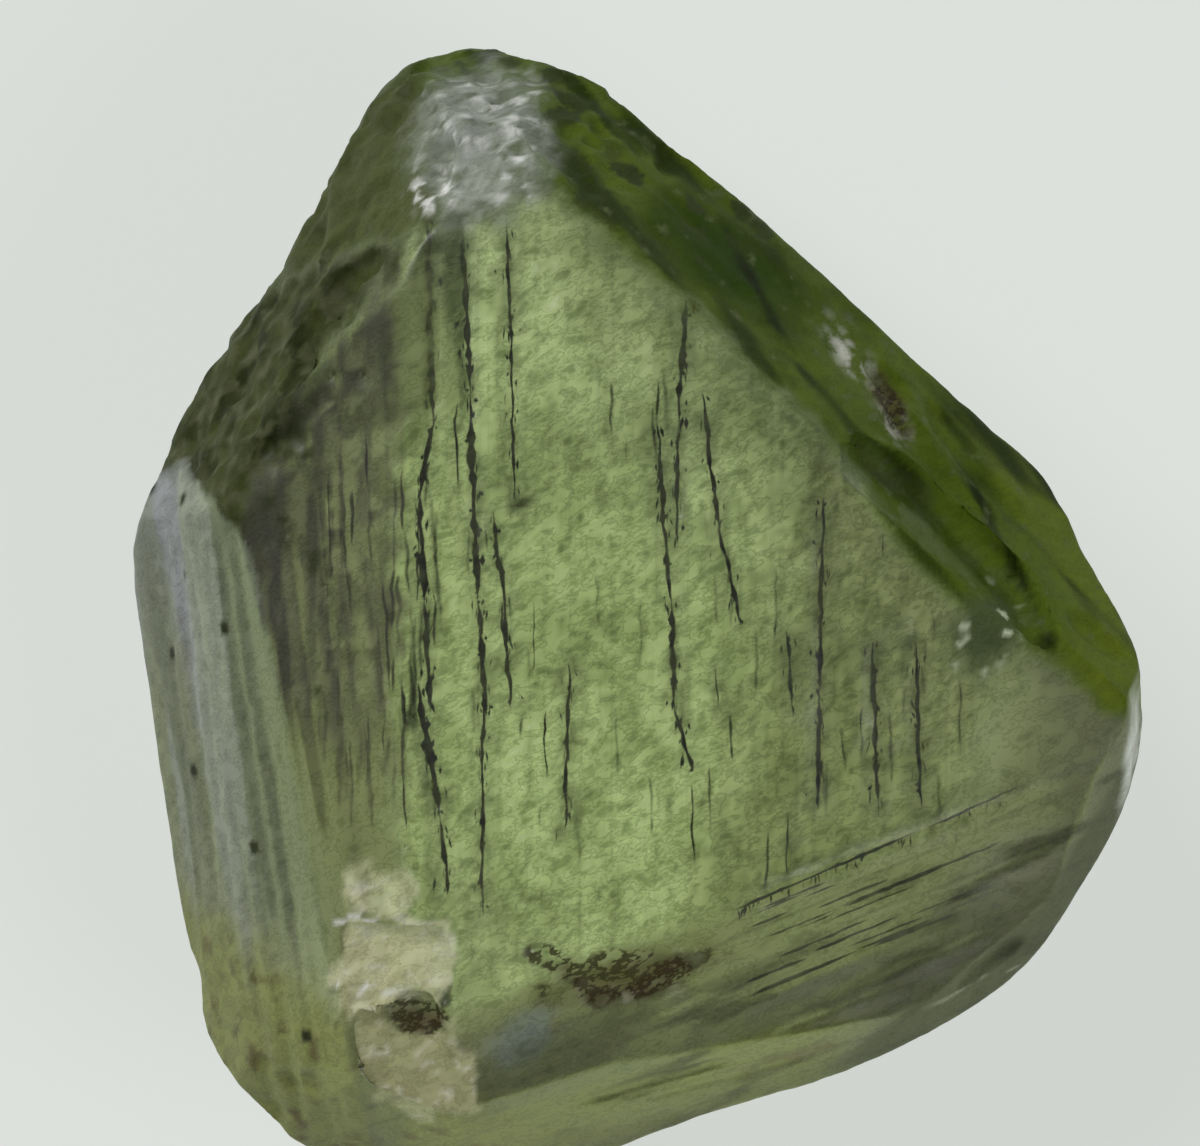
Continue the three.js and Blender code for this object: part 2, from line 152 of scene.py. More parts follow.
# The crystal's regions, in mm
class Regions:
    """Where each face and mark of the crystal lies, as masks of the position in mm."""

    def __init__(self, tree, place):
        self.tree = tree
        self.place = tree.vector("MULTIPLY", place, (1 / MM, 1 / MM, 1 / MM))
        self.x, self.y, self.z = tree.xyz(self.place)

    def recall(self, names):
        """Reads regions back from the mesh, where an earlier tree stored them."""
        number = {"data_type": "FLOAT"}
        for name in names:
            found = self.tree.node("GeometryNodeInputNamedAttribute", number, {"Name": name})
            setattr(self, name, lambda found=found: found)

    @cache
    def front(self):
        """The faces that look up, down to a wavering line at the girdle."""
        lower_side = self.along(-50).most(0.0) * 0.22
        return (self.z + lower_side + self.noise(0.8, detail=2.0, shift=9.0) * 1.6).rise(4.3, 4.9)

    @cache
    def along(self, angle):
        """The distance across the crystal in a compass direction, 0 being +X and 90 +Y."""
        turn = math.radians(angle)
        way = (math.cos(turn), math.sin(turn), 0.0)
        return self.tree.vector("DOT_PRODUCT", self.place, way, output="Value")

    @cache
    def beyond(self, angle, at, soft, waver=0.0):
        """1 beyond a straight edge that faces an angle at a distance, with a soft border."""
        reach = self.along(angle)
        if waver:
            reach = reach + (self.noise(1.6) - 0.5) * waver
        return reach.rise(at - soft, at + soft)

    @cache
    def near(self, x, y, radius, soft, long=1.0, angle=0.0, waver=0.0):
        """1 inside a round or drawn-out spot in plan."""
        turn = math.radians(angle)
        run = (self.along(angle) - (x * math.cos(turn) + y * math.sin(turn))) / long
        across = self.along(angle + 90) - (y * math.cos(turn) - x * math.sin(turn))
        distance = self.tree.vector("LENGTH", self.tree.join(run, across, 0.0), output="Value")
        if waver:
            distance = distance + (self.noise(1.4, detail=3.0, shift=2.0) - 0.5) * waver
        return distance.rise(radius + soft, radius - soft)

    @cache
    def noise(self, scale, stretch=(1, 1, 1), detail=2.0, roughness=0.5, shift=0.0):
        place = self.tree.vector("MULTIPLY", self.place, stretch)
        if shift:
            place = self.tree.vector("ADD", place, (shift, shift * 0.7, shift * 1.3))
        return self.tree.noise(place, scale, detail, roughness)

    def grain(self, angle, spacing, length, shift=0.0):
        """A place drawn out along an angle in plan: noise on it makes lines that way."""
        across, run = self.along(angle - 90), self.along(angle)
        return self.tree.join(across / spacing + shift, run / length, self.z / length)

    @cache
    def lines(self, angle, spacing, length, detail=2.0, shift=0.0):
        return self.tree.noise(self.grain(angle, spacing, length, shift), 1.0, detail)

    @cache
    def box(self, x0, y0, x1, y1, soft, waver, scale=1.8, lean=0.0):
        """1 inside a box in plan with ragged sides; it leans to the right as it goes down."""
        aside = (self.noise(scale, detail=3.0, shift=4.0) - 0.5) * waver
        x, y = self.x + aside + (self.y - y1) * lean, self.y - aside
        within_x = x.rise(x0 - soft, x0 + soft) * x.rise(x1 + soft, x1 - soft)
        return within_x * y.rise(y0 - soft, y0 + soft) * y.rise(y1 + soft, y1 - soft)

    @cache
    def veins(self, scale, width, stretch=(1.0, 1.0, 1.0), shift=0.0):
        """1 on thin wandering lines, the level lines of a noise."""
        return (self.noise(scale, stretch, 2.0, 0.5, shift) - 0.5).absolute().rise(width, width * 0.3)

    # The faces, by their edges in plan
    @cache
    def tip(self):
        return self.beyond(104, 8.15, 0.3, 0.9) * self.front()

    @cache
    def upper_left(self):
        high = self.beyond(153, 7.45, 0.4, 1.2)
        low = self.beyond(144, 7.7, 0.4, 1.2)
        return high.most(low) * self.front() * (1.0 - self.tip()) * (1.0 - self.left_side())

    @cache
    def upper_right(self):
        high = self.beyond(49, 5.25, 0.4, 0.8)
        low = self.beyond(45.3, 5.1, 0.3, 0.7)
        scoop = self.near(6.2, 1.7, 1.0, 0.2, 2.3, -45)
        return high.most(low).most(scoop) * self.front() * self.y.rise(-1.95, -1.5)

    @cache
    def left_side(self):
        top = self.beyond(97, 4.1, 0.2, 1.0).most(self.beyond(40, -4.75, 0.12, 0.5))
        return self.beyond(191, 6.95, 0.12, 0.2) * (1.0 - top)

    @cache
    def left_band(self):
        beside = self.left_side().most(self.upper_left())
        return self.beyond(180, 4.5, 0.4, 1.4) * (1.0 - beside) * (1.0 - self.tip()) * self.front()

    @cache
    def lower_right(self):
        return self.beyond(-68.5, 5.72, 0.25, 0.3) * self.front()

    @cache
    def bottom(self):
        return self.beyond(-74, 8.25, 0.2, 0.5) * self.front() * self.x.rise(4.8, 3.2)

    @cache
    def back(self):
        return (1.0 - self.front()) * (self.z + self.noise(0.7, shift=12.0) * 1.2).rise(1.2, 2.6)

    @cache
    def chip(self):
        crumbs = self.box(-5.4, -5.5, -4.2, -4.7, 0.2, 1.4, 2.4)
        high = self.box(-5.75, -7.1, -3.45, -5.6, 0.09, 1.5, 1.3)
        low = self.box(-5.5, -9.4, -3.6, -7.1, 0.12, 1.3, 1.3, lean=0.3)
        return high.most(low).most(crumbs) * self.front()

    @cache
    def right_corner(self):
        return self.near(8.5, -2.6, 1.8, 0.7, 1.3, 60, 1.0) * self.front()

    @cache
    def bottom_left(self):
        return self.beyond(235, 9.3, 0.6, 1.4) * self.y.rise(-4.6, -6.0)

    @cache
    def mosaic(self, scale, shift=0.0):
        """A different number from 0 to 1 in each grain."""
        place = self.tree.vector("ADD", self.place, (shift, shift, shift))
        inputs = {"Vector": place, "Scale": scale}
        grains = self.tree.node("ShaderNodeTexVoronoi", {}, inputs, "Color")
        return self.tree.xyz(grains)[0]

    @cache
    def misty(self):
        """Faces under the front face's lower edge and left of its top that are never quite clear."""
        low = self.near(-1.2, -7.9, 1.1, 0.6, 2.2, 18, 1.0)
        high = self.near(-4.3, 5.4, 0.8, 0.5, 1.9, 90, 1.0)
        return low.most(high) * self.front()

    @cache
    def stain(self):
        main = self.near(-0.2, -6.7, 0.42, 0.4, 3.3, 8, 1.1)
        tail = self.near(-1.5, -6.45, 0.2, 0.2, 2.6, -24, 0.5)
        spot = self.near(-4.1, -7.5, 0.3, 0.2, 1.7, -8, 0.5)
        flake = self.near(4.95, 4.3, 0.16, 0.2, 3.4, -64, 0.5)
        return main.most(tail).most(spot).most(flake) * self.front()


# The worn crystal
def plain_mesh(piece, name):
    """The evaluated shape of an object as a mesh of its own."""
    depsgraph = bpy.context.evaluated_depsgraph_get()
    depsgraph.update()
    mesh = bpy.data.meshes.new_from_object(piece.evaluated_get(depsgraph), depsgraph=depsgraph)
    mesh.name = name
    return mesh


def new_piece(name, mesh, material=None):
    piece = bpy.data.objects.new(name, mesh)
    scene.collection.objects.link(piece)
    if material:
        mesh.materials.clear()
        mesh.materials.append(material)
    return piece


def merged_copy(node):
    mesh = node.data.copy()
    work = bmesh.new()
    work.from_mesh(mesh)
    bmesh.ops.remove_doubles(work, verts=work.verts, dist=1e-7)
    work.to_mesh(mesh)
    work.free()
    return mesh


def geometry_tree(name, sizes):
    """A Geometry Nodes tree with named number inputs; returns the tree, its geometry and sizes."""
    group = bpy.data.node_groups.new(name, "GeometryNodeTree")
    group.interface.new_socket("Geometry", in_out="INPUT", socket_type="NodeSocketGeometry")
    for label, value in sizes.items():
        kind = "NodeSocketInt" if isinstance(value, int) else "NodeSocketFloat"
        group.interface.new_socket(label, in_out="INPUT", socket_type=kind)
    group.interface.new_socket("Geometry", in_out="OUTPUT", socket_type="NodeSocketGeometry")
    tree = Tree(group)
    given = tree.node("NodeGroupInput")
    return tree, given, {label: given.out(label) for label in sizes}


def close_tree(tree, geometry, material):
    real = tree.node("GeometryNodeRealizeInstances", {}, {0: geometry})
    done = tree.node("GeometryNodeSetMaterial", {}, {"Geometry": real, "Material": material})
    tree.node("NodeGroupOutput", {}, {0: done})


def run_tree(piece, tree, sizes, name, material):
    """Runs a tree on an object and returns the result as a new piece."""
    modifier = piece.modifiers.new(name, "NODES")
    modifier.node_group = tree.tree
    for item in tree.tree.interface.items_tree:
        if item.in_out == "INPUT" and item.name in sizes:
            modifier[item.identifier] = sizes[item.name]
    mesh = plain_mesh(piece, name)
    piece.modifiers.clear()
    bpy.data.objects.remove(piece)
    return new_piece(name, mesh, material)


def relief(tree, here, size, geometry):
    """Wears the smooth faces inwards: broad hillocks, lumps, growth lines and pits."""
    rough = here.tip().most(here.upper_left() * 0.9).most(here.upper_right() * 0.2)
    rough = rough.most(here.chip() * 0.5).most(0.12)
    raised = here.z.rise(0.05, 0.25)
    hillocks = here.noise(0.45, detail=1.0) * size["Hillocks"]
    lumps = here.noise(1.15, shift=7.0).rise(0.35, 0.75) * rough * size["Lumps"]
    left = here.left_side().most(here.left_band() * 0.5)
    side_lines = here.lines(98, 0.55, 9.0).rise(0.35, 0.65) * left
    upright = here.lines(90, 0.7, 12.0, 1.0, 3.0) * here.front() * 0.35
    slanting = here.lines(22, 0.8, 9.0, 1.0, 5.0) * here.lower_right() * 0.8
    banded = here.lines(-42, 0.6, 5.0, 1.0, 8.0) * here.upper_right() * 1.6
    grown = (side_lines + upright + slanting + banded) * size["Growth lines"]
    hollows = tree.cells(here.place, 0.8).rise(0.34, 0.12) * rough * size["Pits"]
    depth = (hillocks + lumps + grown + hollows) * raised
    inward = tree.vector("MULTIPLY", tree.node("GeometryNodeInputNormal"), tree.join(*[depth * -MM] * 3))
    return tree.node("GeometryNodeSetPosition", {}, {"Geometry": geometry, "Offset": inward})


def store(tree, geometry, name, kind, value):
    settings = {"data_type": kind, "domain": "POINT"}
    inputs = {"Geometry": geometry, "Name": name, "Value": value}
    return tree.node("GeometryNodeStoreNamedAttribute", settings, inputs)


# How each part of the surface looks: what passing light picks up, what scatters light or is painted
# light and shade, and how much of the surface that takes, and the roughness.
Look = namedtuple("Look", ("passed", "crust", "share", "roughness"))
LOOKS = {
    "left_band": Look((0.50, 0.46, 0.36), (0.17, 0.175, 0.10), 0.60, 0.40),
    "right_corner": Look((0.56, 0.53, 0.40), (0.28, 0.31, 0.15), 0.55, 0.5),
    "misty": Look((0.64, 0.6, 0.42), (0.31, 0.37, 0.15), 0.6, 0.5),
    "lower_right": Look((0.48, 0.44, 0.28), (0.235, 0.26, 0.125), 0.54, 0.40),
    "bottom": Look((0.48, 0.45, 0.20), (0.27, 0.30, 0.08), 0.50, 0.40),
    # The left side's pale grey covering is a painted reflection of the pale floor on this steep face
    "left_side": Look((0.66, 0.65, 0.42), (0.42, 0.46, 0.27), 0.66, 0.45),
    "bottom_left": Look((0.66, 0.62, 0.28), (0.41, 0.445, 0.15), 0.70, 0.45),
    "back": Look((0.85, 0.85, 0.66), (0.10, 0.13, 0.04), 0.34, 0.28),
    # Painted shade: the dark tints and the dark covering of nearly all of the upper left, tip and upper
    # right faces stand in for the light these frosted faces lose inside the crystal; their deep green is
    # their own
    "upper_left": Look((0.36, 0.36, 0.20), (0.062, 0.076, 0.018), 0.93, 0.45),
    "tip": Look((0.46, 0.46, 0.30), (0.088, 0.108, 0.030), 0.86, 0.45),
    "upper_right": Look((0.30, 0.38, 0.07), (0.112, 0.162, 0.014), 0.93, 0.3),
    "chip": Look((1.0, 1.0, 0.95), (1.0, 1.0, 0.7), 0.75, 0.5),
}
PLAIN_LOOK = Look((1.0, 1.0, 1.0), (0.25, 0.30, 0.15), 0.0, 0.26)


def colour(values):
    return (*values, 1.0)


def marks(here):
    """Small marks, the later ones on top: where each is, its colour, how much of the surface it takes."""
    front, upper_left, upper_right = here.front(), here.upper_left(), here.upper_right()
    blotch = here.noise(0.9, detail=3.0, shift=3.0)
    fine = here.noise(2.6, detail=2.0, shift=6.0)
    specks = here.tree.cells(here.place, 2.7)
    side = here.left_side()
    # Where the left side carries its painted grey-lilac sheen
    painted_lilac_sheen = side * here.y.rise(-2.5, 2.2)
    bands = here.lines(98, 0.9, 14.0, 1.0, 2.0)
    frost = here.near(-2.9, 9.2, 1.15, 0.6, 1.25, 90, 0.8) * front
    # Painted glints: where sparkles lie on the frosted tip
    sparkle = here.near(-3.85, 8.3, 0.5, 0.25, 1.0, 0, 0.5)
    sparkle = sparkle.most(here.near(-2.2, 8.7, 0.5, 0.3, 1.3, 60, 0.6))
    sparkle = sparkle.most(here.near(-2.6, 9.9, 0.9, 0.4, 1.0, 0, 0.6) * 0.6)
    edge_nicks = here.near(9.9, -2.4, 0.3, 0.3, 2.4, 86).most(here.near(4.9, -8.9, 0.2, 0.3, 1.6, 20))
    flake = here.near(4.3, 5.2, 0.25, 0.25, 2.2, -50, 0.6)
    flake = flake.most(here.near(5.0, 3.9, 0.2, 0.2, 1.8, -60, 0.5))
    pits = here.tree.cells(here.place, 0.95).rise(0.17, 0.11) * here.beyond(180, 5.2, 0.3)
    pits = pits * (1.0 - upper_left) * (1.0 - here.chip())
    spots = here.near(-2.15, 2.25, 0.12, 0.08, 2.6, 25, 0.2).most(here.near(-6.1, 1.2, 0.14, 0.08, 1.4, 80))
    spots = spots.most(here.near(-4.5, -4.9, 0.17, 0.08, 1.2, 0, 0.3))
    spots = spots.most(here.near(-4.78, 6.8, 0.06, 0.06, 9.0, 93, 0.2))
    ledge = here.near(6.7, -0.15, 0.65, 0.25, 1.3, 60, 1.0)
    streak = here.near(-8.5, -1.2, 0.16, 0.2, 22.0, 101, 0.3) * here.y.rise(3.8, 2.6)
    edge_line = here.near(9.62, -2.6, 0.15, 0.09, 8.5, 84, 0.2) * front * here.z.rise(6.9, 7.5)
    dark_end = here.near(6.3, -6.9, 1.0, 0.6, 2.4, 35, 1.2)
    pale_end = here.near(7.2, -4.7, 0.6, 0.6, 1.6, 35, 0.8)
    crumbs = here.near(5.2, 2.3, 0.3, 0.3, 4.0, -45, 1.0) * front
    rim = here.near(-7.9, 6.2, 0.2, 0.25, 22.0, 58, 0.5) * upper_left
    # A painted bluish sheen on the low front
    painted_bluish_sheen = here.near(-2.0, -7.8, 0.35, 0.3, 1.7, 30, 1.0) * front
    crack_waver = here.y + (here.noise(2.0, detail=3.0, shift=4.0) - 0.5) * 0.6
    chip_cracks = (crack_waver + 5.65).absolute().least((crack_waver + 7.0).absolute())
    chip_cracks = chip_cracks.rise(0.07, 0.02) * here.x.rise(-5.9, -5.7) * here.x.rise(-3.9, -4.9)
    chip_cracks = chip_cracks * fine.rise(0.38, 0.48) * front
    brown = here.bottom_left() * here.noise(1.8, detail=3.0, shift=15.0).rise(0.57, 0.66)
    tan_ridge = here.near(3.0, -8.45, 0.14, 0.16, 7.0, 17, 0.5) * front
    strokes = here.near(7.3, 1.0, 0.08, 0.1, 18.0, -68, 0.5)
    strokes = strokes.most(here.near(2.5, 6.36, 0.06, 0.1, 16.0, -62, 0.4))
    bevel = here.beyond(-52, 9.13, 0.15, 0.2).most(here.beyond(-30, 9.5, 0.15, 0.2))
    bevel = bevel * here.x.rise(3.0, 5.0)
    vivid = here.near(1.9, 7.0, 0.8, 0.5, 2.2, -40, 0.8) * upper_right
    border = here.beyond(47.5, 4.9, 0.3, 1.0) * (1.0 - upper_right) * front * here.y.rise(-2.2, -1.0)
    grains, coarse = here.mosaic(3.2), here.mosaic(2.0, 5.0)
    band, lower_right = here.left_band(), here.lower_right()
    upward, lifted = here.y.rise(-6.5, -3.0), here.y.rise(-3.2, -0.8)
    slanting = here.lines(22, 0.4, 3.5, 2.0, 3.0).rise(0.55, 0.66) * lower_right * here.x.rise(-2.5, 2.0)
    pale_lines = here.lines(22, 0.13, 1.6, 1.0, 8.0).rise(0.66, 0.72)
    pale_lines = pale_lines * here.near(6.9, -6.3, 0.7, 0.4, 2.2, 22, 0.6)
    inner_strip = here.along(191).rise(8.5, 8.0) * side * here.y.rise(-7.0, -5.0)
    chip, stain = here.chip(), here.stain()
    return (
        # Mottling of the upper left face, over its painted shade; the lighter grains and patches are
        # painted highlights of its rough relief
        (blotch.rise(0.5, 0.4) * upper_left, (0.024, 0.033, 0.006), 0.95),
        (here.near(-6.9, 3.6, 0.35, 0.3, 2.0, 40, 0.6) * front, (0.014, 0.020, 0.004), 0.95),
        (coarse.rise(0.45, 0.1) * upper_left * 0.5, (0.020, 0.028, 0.006), 0.95),
        (grains.rise(0.5, 1.0) * upper_left * 0.6, (0.12, 0.13, 0.06), 0.93),
        (fine.rise(0.5, 0.74) * upper_left * 0.8, (0.16, 0.17, 0.09), 0.9),
        (rim * grains.rise(0.45, 0.55), (0.20, 0.21, 0.14), 0.8),
        # The dim band left of the long tubes
        (blotch.rise(0.52, 0.42) * band * lifted, (0.085, 0.082, 0.054), 0.70),
        (coarse.rise(0.25, 0.15) * band * lifted, (0.07, 0.065, 0.055), 0.7),
        (grains.rise(0.75, 0.85) * band, (0.22, 0.23, 0.13), 0.6),
        (band * (1.0 - lifted), (0.23, 0.25, 0.11), 0.6),
        # The vivid upper right faces and their border; their dark greens are partly their own colour and
        # partly painted shade
        (blotch.rise(0.52, 0.4) * upper_right, (0.080, 0.122, 0.008), 0.94),
        (here.beyond(-20, 5.6, 0.8, 1.0) * upper_right, (0.150, 0.205, 0.016), 0.92),
        (vivid, (0.030, 0.068, 0.001), 0.97),
        (here.near(6.2, 1.7, 1.3, 0.4, 2.3, -45) * upper_right * 0.7, (0.085, 0.135, 0.010), 0.97),
        (border * 0.7, (0.115, 0.145, 0.07), 0.75),
        (crumbs * coarse.rise(0.35, 0.65), (0.13, 0.16, 0.075), 0.8),
        (pale_end * lower_right, (0.32, 0.34, 0.21), 0.72),
        (coarse.rise(0.35, 0.2) * upper_right * here.y.rise(6.3, 8.0), (0.05, 0.066, 0.018), 0.94),
        (here.lines(-48, 0.6, 4.0, 2.0, 4.0).rise(0.54, 0.66) * upper_right, (0.030, 0.048, 0.004), 0.95),
        (strokes * upper_right, (0.012, 0.020, 0.001), 0.96),
        (ledge * front, (0.085, 0.115, 0.045), 0.92),
        (ledge * front * specks.rise(0.36, 0.24), (0.75, 0.82, 0.58), 0.85),
        (fine.rise(0.62, 0.74) * upper_right, (0.12, 0.15, 0.05), 0.85),
        # The back
        (fine.rise(0.58, 0.7) * here.back(), (0.16, 0.18, 0.09), 0.6),
        # The lined left side, with a painted grey-lilac sheen: a painted reflection of the pale floor on
        # this steep face
        (painted_lilac_sheen * 0.7, (0.36, 0.38, 0.37), 0.66),
        (bands.rise(0.5, 0.53) * painted_lilac_sheen, (0.42, 0.43, 0.46), 0.72),
        (bands.rise(0.42, 0.36) * side * upward * 0.7, (0.26, 0.29, 0.19), 0.62),
        (inner_strip * 0.7, (0.235, 0.265, 0.18), 0.64),
        (here.y.rise(2.6, 4.0) * side * 0.7, (0.20, 0.22, 0.17), 0.66),
        (streak * side, (0.54, 0.56, 0.56), 0.74),
        (here.lines(98, 0.5, 16.0, 0.0, 7.0).rise(0.66, 0.7) * side * upward, (0.48, 0.52, 0.42), 0.66),
        (here.lines(90, 0.33, 3.4, 3.0, 6.0).rise(0.5, 0.6) * band * lifted, (0.070, 0.062, 0.058), 0.70),
        # The lower right face and the right edge
        (dark_end * lower_right * 0.8, (0.175, 0.18, 0.12), 0.62),
        (bevel * front, (0.16, 0.18, 0.10), 0.88),
        (slanting, (0.075, 0.080, 0.045), 0.72),
        (pale_lines, (0.62, 0.65, 0.5), 0.75),
        (edge_line, (0.95, 1.0, 0.9), 0.8),
        # The frosted tip, with painted glints as white specks and sparkles on the frost, and the flakes
        (frost, (0.38, 0.41, 0.36), 0.82),
        (frost * grains.rise(0.45, 0.6), (0.50, 0.53, 0.47), 0.84),
        (frost * fine.rise(0.48, 0.36), (0.17, 0.19, 0.13), 0.82),
        (frost * specks.rise(0.36, 0.2) * coarse.rise(0.4, 0.6), (0.85, 0.88, 0.82), 0.88),
        (sparkle * front * specks.rise(0.5, 0.32) * grains.rise(0.2, 0.4), (1.0, 1.0, 0.95), 0.97),
        (flake.most(edge_nicks) * front * specks.rise(0.62, 0.4), (0.75, 0.75, 0.66), 0.85),
        # The low front: a painted bluish sheen, brown patches, ridge, pits and spots
        (painted_bluish_sheen, (0.25, 0.29, 0.31), 0.6),
        (painted_bluish_sheen * here.lines(100, 0.25, 1.4, 1.0, 5.0).rise(0.6, 0.68), (0.36, 0.25, 0.09), 0.45),
        (brown * 0.8, (0.19, 0.15, 0.055), 0.68),
        (tan_ridge * grains.rise(0.3, 0.5), (0.24, 0.20, 0.09), 0.7),
        (pits.most(spots), (0.035, 0.04, 0.018), 0.85),
        # The chip and the iron stain
        (here.near(-3.2, -6.5, 0.9, 0.7, 1.7, 80, 1.2) * front * 0.4, (0.62, 0.66, 0.36), 0.6),
        (chip * (0.55 + here.x.rise(-3.5, -4.4) * 0.45), (0.88, 0.86, 0.52), 0.75),
        (chip * here.y.rise(-5.7, -5.4) * fine.rise(0.62, 0.42), (0.5, 0.5, 0.32), 0.6),
        (chip * here.y.rise(-6.9, -7.4), (0.64, 0.63, 0.33), 0.68),
        (chip * fine.rise(0.52, 0.4) * 0.6, (0.62, 0.58, 0.32), 0.75),
        (chip * here.veins(1.3, 0.03, (0.5, 1.6, 1.0), 3.0) * 0.6, (1.0, 1.0, 0.8), 0.9),
        (chip_cracks, (1.0, 1.0, 0.92), 0.97),
        (stain * fine.rise(0.25, 0.45), (0.13, 0.098, 0.042), 0.8),
    )


def growth_shades(here, halo):
    """Where the front face is dimmer, and the tint that passing light picks up there."""
    front = here.front()
    streaks = here.lines(90, 0.33, 3.4, 3.0, 6.0)
    streaky = here.near(-4.9, 1.0, 1.2, 1.2, 2.6, 90, 1.6)
    bar = here.near(0.6, 4.0, 0.45, 0.8, 3.4, 10, 1.2).most(here.near(-2.7, 2.3, 0.4, 0.7, 2.2, 80, 1.2))
    left_edge = here.beyond(180, 3.5, 0.7, 1.0) * here.y.rise(5.5, 3.5)
    crumples = here.tree.cells(here.place, 2.0, "DISTANCE_TO_EDGE").rise(0.12, 0.02)
    return (
        (here.beyond(-12, 2.2, 1.0, 1.6) * front, (0.31, 0.28, 0.22)),
        (here.beyond(49, 4.5, 1.0, 0.9) * front * 0.5, (0.45, 0.46, 0.32)),
        (here.beyond(149, 6.9, 0.7, 0.9) * front * 0.3, (0.45, 0.45, 0.34)),
        ((1.0 - here.near(-1.2, 1.0, 2.6, 2.0, 2.8, 90, 1.0)) * front * 0.4, (0.66, 0.66, 0.58)),
        (bar * front * 0.9, (0.42, 0.44, 0.36)),
        (here.lines(90, 0.45, 4.0, 2.0, 12.0).rise(0.52, 0.68) * front * 0.45, (0.40, 0.42, 0.32)),
        (here.beyond(-84, 4.4, 1.0, 1.2) * front * 0.5, (0.72, 0.70, 0.62)),
        (left_edge * front * 0.5, (0.66, 0.66, 0.56)),
        (here.noise(0.8, (1.0, 0.7, 1.0), 3.0, 0.6, 5.0).rise(0.54, 0.4) * front * 0.7, (0.42, 0.45, 0.34)),
        (here.near(-0.5, 1.0, 1.8, 1.8, 1.8, 90, 1.2) * front * 0.8, (0.55, 0.56, 0.48)),
        (crumples * front * 0.3, (0.34, 0.38, 0.24)),
        (here.veins(1.1, 0.03, (1.4, 0.8, 1.0)) * front * 0.7, (0.32, 0.36, 0.24)),
        (here.veins(1.5, 0.03, (2.4, 0.5, 1.0), 8.0) * front * 0.6, (0.30, 0.33, 0.24)),
        (streaks.rise(0.5, 0.6) * streaky * front * 0.9, (0.30, 0.25, 0.25)),
        (here.near_tube().rise(halo, 0.1) * front * 0.6, (0.40, 0.42, 0.30)),
    )


REGIONS = ("near_tube", "front", "stain", *LOOKS)


def store_regions(tree, here, geometry, size, lines):
    """Stores how near the closest growth tube is, in mm, and the mask of each region."""
    traces = tree.node("GeometryNodeObjectInfo", {}, {"Object": lines}, "Geometry")
    nearest = tree.node("GeometryNodeProximity", {"target_element": "EDGES"}, {0: traces}, "Distance")
    away = nearest * (1 / MM)
    near_tube = away + (here.noise(3.0, detail=2.0, shift=1.0) - 0.5) * size["Waver"]
    geometry = store(tree, geometry, "near_tube", "FLOAT", near_tube)
    for name in REGIONS[1:]:
        geometry = store(tree, geometry, name, "FLOAT", getattr(here, name)())
    return geometry


def paint_tint(tree, here, geometry, size):
    """Stores what passing light picks up."""
    tint = colour(PLAIN_LOOK.passed)
    for mask, shade in growth_shades(here, size["Halo"]):
        tint = tree.mix(mask, tint, tree.mix(1.0, tint, colour(shade), "MULTIPLY"))
    for name, look in LOOKS.items():
        tint = tree.mix(getattr(here, name)(), tint, colour(look.passed))
    return store(tree, geometry, "tint", "FLOAT_COLOR", tint)


def paint_crust_and_painted_light(tree, here, geometry, size):
    """Stores the colour of what scatters light at the surface, with painted shade, sheen and glints among
    it, and its share of the surface.
    """
    crust, taken = colour(PLAIN_LOOK.crust), PLAIN_LOOK.share
    for name, look in LOOKS.items():
        mask = getattr(here, name)()
        crust = tree.mix(mask, crust, colour(look.crust))
        taken = mask * look.share + (1.0 - mask) * taken
    traced = here.near_tube().rise(size["Halo"], 0.06) * here.front()
    crust = tree.mix(traced, crust, colour((0.065, 0.075, 0.028)))
    taken = taken.most(traced * 0.6)
    for mask, shade, share in marks(here):
        crust = tree.mix(mask, crust, colour(shade))
        taken = mask * share + (1.0 - mask) * taken
    geometry = store(tree, geometry, "crust", "FLOAT_COLOR", crust)
    return store(tree, geometry, "crusted", "FLOAT", taken)


def wear(tree, here, geometry, size):
    """Stores the roughness and the way of the fine lines, then wears the relief into the faces."""
    polish = PLAIN_LOOK.roughness
    for name, look in LOOKS.items():
        mask = getattr(here, name)()
        polish = mask * look.roughness + (1.0 - mask) * polish
    polish = polish.most(here.near_tube().rise(0.4, 0.25) * 0.38)
    polish = polish.most(here.beyond(47, 4.7, 0.3, 0.8) * here.front() * 0.5)
    way = here.grain(90, 0.16, 5.0, 2.0)
    for mask, grain in (
        (here.left_side().most(here.left_band()), here.grain(98, 0.14, 6.0, 9.0)),
        (here.lower_right(), here.grain(22, 0.2, 5.0, 6.0)),
    ):
        inputs = {0: mask.rise(0.49, 0.51), 4: way, 5: grain}
        way = tree.node("ShaderNodeMix", {"data_type": "VECTOR"}, inputs, 1)
    lined = (here.left_side() * 0.2).most(here.left_band() * 0.3)
    lined = lined.most(here.lower_right() * 0.8).most(here.front() * 0.25)
    geometry = store(tree, geometry, "polish", "FLOAT", polish)
    geometry = store(tree, geometry, "grain", "FLOAT_VECTOR", way)
    geometry = store(tree, geometry, "lined", "FLOAT", lined)
    return relief(tree, here, size, geometry)


def dress(piece, name, step, sizes, known, material):
    """Runs one step's tree on the crystal, with the regions that an earlier tree has stored."""
    tree, geometry, size = geometry_tree(name, sizes)
    here = Regions(tree, tree.node("GeometryNodeInputPosition"))
    here.recall(known)
    close_tree(tree, step(tree, here, geometry, size), material)
    return run_tree(piece, tree, sizes, "crystal", material)


